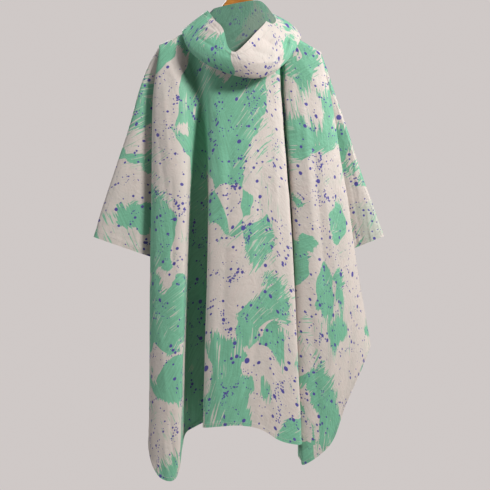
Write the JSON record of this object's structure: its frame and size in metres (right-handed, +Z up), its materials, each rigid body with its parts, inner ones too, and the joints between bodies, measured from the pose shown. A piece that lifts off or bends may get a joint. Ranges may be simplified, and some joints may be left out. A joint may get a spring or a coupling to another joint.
{
  "type": "rain poncho on a hanger",
  "caption": "Hooded pullover rain poncho with short wide sleeves and deep hanging folds, hung by its shoulders on a wooden coat hanger with a wire hook.",
  "frame": {"origin": "inside of the hook's top, where the hanger hangs on its rail", "axes": "+Z up, +X towards the wearer's right sleeve, -Y out of the poncho's back, +Y out of its front"},
  "size_m": [0.7244, 0.153, 1.295],
  "materials": {
    "poncho_cloth": "thin coated nylon, printed on its outer face, soft sheen",
    "hanger_wood": "varnished",
    "hook_wire": "plated wire"
  },
  "bodies": {
    "root": {"back_panel": "poncho_cloth", "front_panel": "poncho_cloth", "sleeve_left": "poncho_cloth", "sleeve_right": "poncho_cloth", "hood_left": "poncho_cloth", "hood_right": "poncho_cloth", "hanger_bar": "hanger_wood", "hanger_hook": "hook_wire"}
  },
  "joints": []
}
